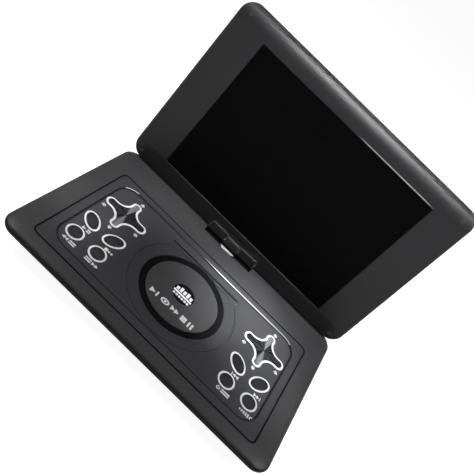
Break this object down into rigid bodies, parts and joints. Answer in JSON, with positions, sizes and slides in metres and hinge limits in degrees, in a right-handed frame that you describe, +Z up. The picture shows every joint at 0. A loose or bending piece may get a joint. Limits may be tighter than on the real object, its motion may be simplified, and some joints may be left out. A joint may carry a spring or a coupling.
{
  "type": "portable dvd player",
  "caption": "Folding disc player: screen on a tilt and swivel hinge, lift-up disc door with turntable and moving pickup, four-way pads, sprung keys, side sockets.",
  "frame": {"origin": "centre of the bounding box in X and Y, at the level of the rubber feet's undersides", "axes": "+X to the user's right along the hinge line, +Y from the user towards the screen, +Z up"},
  "size_m": [0.364, 0.2834, 0.2665],
  "materials": {
    "case_plastic": "fine satin grain",
    "panel_plastic": "smooth satin",
    "dome_plastic": "polished",
    "pad_metal": "polished dark lacquer",
    "key_plastic": "polished",
    "ring_white": "smooth silvery white",
    "trim_silver": "polished",
    "bezel_plastic": "fine satin grain",
    "lcd_glass": "dark, semi-matt",
    "rubber": "matt",
    "steel": "brushed",
    "circuit_board": "solder mask",
    "inner_plastic": "moulded",
    "lens_glass": "coated",
    "lamp_white": "diffuse",
    "pack_wrap": "shrink wrap",
    "silicone": "translucent grey"
  },
  "bodies": {
    "base": {"base_top_shell": "case_plastic", "base_bottom_case": "case_plastic", "rubber_feet": "rubber", "case_screws": "steel", "control_panel": "panel_plastic", "panel_trim": "trim_silver", "pad_rings": "ring_white", "key_rings": "ring_white", "disc_tray": "inner_plastic", "spindle_motor": "steel", "guide_rods": "steel", "sled_motor": "steel", "door_pins": "steel", "keypad_sheets": "silicone", "key_boards": "circuit_board", "main_board": "circuit_board", "battery_pack": "pack_wrap", "speakers": "inner_plastic", "headphone_jack": "inner_plastic", "av_jack": "inner_plastic", "dc_jack": "inner_plastic", "usb_port": "steel", "card_slot": "steel", "volume_axle": "inner_plastic", "hinge_mark": "trim_silver", "tilt_shaft": "steel"},
    "tilt_block": {"hinge_block": "case_plastic", "swivel_post": "steel"},
    "screen": {"screen_bezel": "bezel_plastic", "screen_back_cover": "case_plastic", "screen_bumpers": "rubber", "screen_screws": "steel", "lcd_panel": "lcd_glass", "lcd_backlight": "lamp_white", "driver_board": "circuit_board", "swivel_bracket": "steel"},
    "door": {"disc_door": "panel_plastic", "door_dome": "dome_plastic", "door_emblem": "dome_plastic"},
    "turntable": {"turntable": "inner_plastic"},
    "lead_screw": {"lead_screw": "steel"},
    "pickup": {"optical_pickup": "inner_plastic", "pickup_lens": "lens_glass"},
    "left_pad_pivot": {"left_pad_pivot": "inner_plastic"},
    "left_pad": {"left_star_pad": "pad_metal"},
    "right_pad_pivot": {"right_pad_pivot": "inner_plastic"},
    "right_pad": {"right_star_pad": "pad_metal"},
    "left_oval_key_a": {"left_oval_key_a": "key_plastic"},
    "left_oval_key_b": {"left_oval_key_b": "key_plastic"},
    "left_round_key_a": {"left_round_key_a": "key_plastic"},
    "left_round_key_b": {"left_round_key_b": "key_plastic"},
    "right_oval_key_a": {"right_oval_key_a": "key_plastic"},
    "right_oval_key_b": {"right_oval_key_b": "key_plastic"},
    "right_round_key_a": {"right_round_key_a": "key_plastic"},
    "right_round_key_b": {"right_round_key_b": "key_plastic"},
    "volume_wheel": {"volume_wheel": "case_plastic"},
    "power_switch": {"power_switch": "case_plastic"}
  },
  "joints": [
    {"name": "screen_tilt", "type": "hinge", "parent": "base", "child": "tilt_block", "pos_m": [0, 0.0923, 0.0365], "axis": [-1, 0, 0], "range_deg": [-100.3, 75]},
    {"name": "screen_swivel", "type": "hinge", "parent": "tilt_block", "child": "screen", "pos_m": [0, 0.09751, 0.03555], "axis": [0, 0.1788, 0.9839], "range_deg": [-180, 0]},
    {"name": "disc_door", "type": "hinge", "parent": "base", "child": "door", "pos_m": [0, 0.01709, 0.0282], "axis": [-1, 0, 0], "range_deg": [0, 80]},
    {"name": "turntable_spin", "type": "hinge", "parent": "base", "child": "turntable", "pos_m": [0, -0.0385, 0.024], "axis": [0, 0, 1], "continuous": true},
    {"name": "lead_screw_spin", "type": "hinge", "parent": "base", "child": "lead_screw", "pos_m": [0.022, -0.0385, 0.016], "axis": [0, -1, 0], "range_deg": [0, 3600]},
    {"name": "pickup_slide", "type": "slide", "parent": "base", "child": "pickup", "axis": [0, -1, 0], "range_m": [0, 0.03]},
    {"name": "left_pad_pitch", "type": "hinge", "parent": "base", "child": "left_pad_pivot", "pos_m": [-0.1113, -0.01001, 0.0264], "axis": [1, 0, 0], "range_deg": [-2, 2], "stiffness_Nm_per_rad": 0.3},
    {"name": "left_pad_roll", "type": "hinge", "parent": "left_pad_pivot", "child": "left_pad", "pos_m": [-0.1113, -0.01001, 0.0264], "axis": [0, 1, 0], "range_deg": [-2, 2], "stiffness_Nm_per_rad": 0.3},
    {"name": "right_pad_pitch", "type": "hinge", "parent": "base", "child": "right_pad_pivot", "pos_m": [0.1113, -0.01001, 0.0264], "axis": [1, 0, 0], "range_deg": [-2, 2], "stiffness_Nm_per_rad": 0.3},
    {"name": "right_pad_roll", "type": "hinge", "parent": "right_pad_pivot", "child": "right_pad", "pos_m": [0.1113, -0.01001, 0.0264], "axis": [0, 1, 0], "range_deg": [-2, 2], "stiffness_Nm_per_rad": 0.3},
    {"name": "left_oval_key_a_press", "type": "slide", "parent": "base", "child": "left_oval_key_a", "axis": [0, 0, -1], "range_m": [0, 0.0008], "stiffness_N_per_m": 600, "springref_m": -0.0005},
    {"name": "left_oval_key_b_press", "type": "slide", "parent": "base", "child": "left_oval_key_b", "axis": [0, 0, -1], "range_m": [0, 0.0008], "stiffness_N_per_m": 600, "springref_m": -0.0005},
    {"name": "left_round_key_a_press", "type": "slide", "parent": "base", "child": "left_round_key_a", "axis": [0, 0, -1], "range_m": [0, 0.0008], "stiffness_N_per_m": 600, "springref_m": -0.0005},
    {"name": "left_round_key_b_press", "type": "slide", "parent": "base", "child": "left_round_key_b", "axis": [0, 0, -1], "range_m": [0, 0.0008], "stiffness_N_per_m": 600, "springref_m": -0.0005},
    {"name": "right_oval_key_a_press", "type": "slide", "parent": "base", "child": "right_oval_key_a", "axis": [0, 0, -1], "range_m": [0, 0.0008], "stiffness_N_per_m": 600, "springref_m": -0.0005},
    {"name": "right_oval_key_b_press", "type": "slide", "parent": "base", "child": "right_oval_key_b", "axis": [0, 0, -1], "range_m": [0, 0.0008], "stiffness_N_per_m": 600, "springref_m": -0.0005},
    {"name": "right_round_key_a_press", "type": "slide", "parent": "base", "child": "right_round_key_a", "axis": [0, 0, -1], "range_m": [0, 0.0008], "stiffness_N_per_m": 600, "springref_m": -0.0005},
    {"name": "right_round_key_b_press", "type": "slide", "parent": "base", "child": "right_round_key_b", "axis": [0, 0, -1], "range_m": [0, 0.0008], "stiffness_N_per_m": 600, "springref_m": -0.0005},
    {"name": "volume_turn", "type": "hinge", "parent": "base", "child": "volume_wheel", "pos_m": [0.1674, -0.0527, 0.0135], "axis": [0, 0, 1], "range_deg": [-135, 135]},
    {"name": "power_slide", "type": "slide", "parent": "base", "child": "power_switch", "axis": [0, 1, 0], "range_m": [0, 0.004]}
  ],
  "couplings": [
    {"joint": "lead_screw_spin", "follows": "pickup_slide", "rad_per_m": 2094.4}
  ]
}
